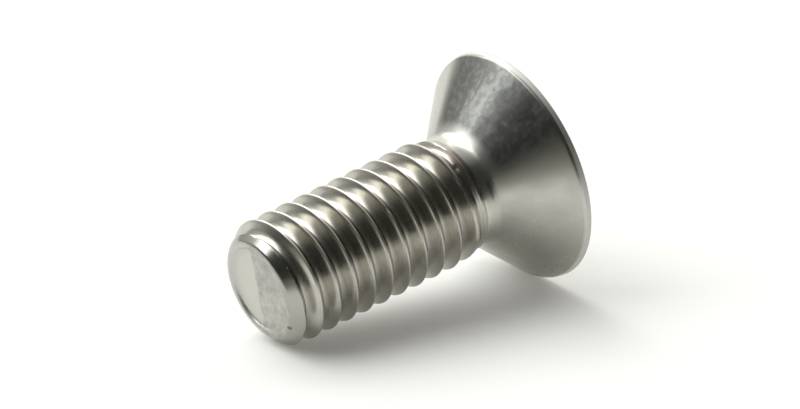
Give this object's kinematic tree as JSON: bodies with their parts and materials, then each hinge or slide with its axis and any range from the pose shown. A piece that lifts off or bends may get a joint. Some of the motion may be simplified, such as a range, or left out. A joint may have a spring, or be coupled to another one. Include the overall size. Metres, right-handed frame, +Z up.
{
  "type": "countersunk machine screw",
  "caption": "Short metric machine screw with a cone-shaped countersunk head, a coarse right-hand thread, a plain neck and a cross recess for the driver.",
  "frame": {"origin": "centre of the outline's base on the surface that the screw lies on, half way between the tip's end and the head's end", "axes": "+Z up, +X towards the head, +Y across; the screw's own axis lies in the XZ plane and rises 10.8 degrees from the tip to the head"},
  "size_m": [0.013, 0.009, 0.009],
  "materials": {
    "steel": "bright bare steel: smooth on the rolled thread, satin and finely mottled on the head"
  },
  "bodies": {
    "root": {"screw": "steel"}
  },
  "joints": []
}
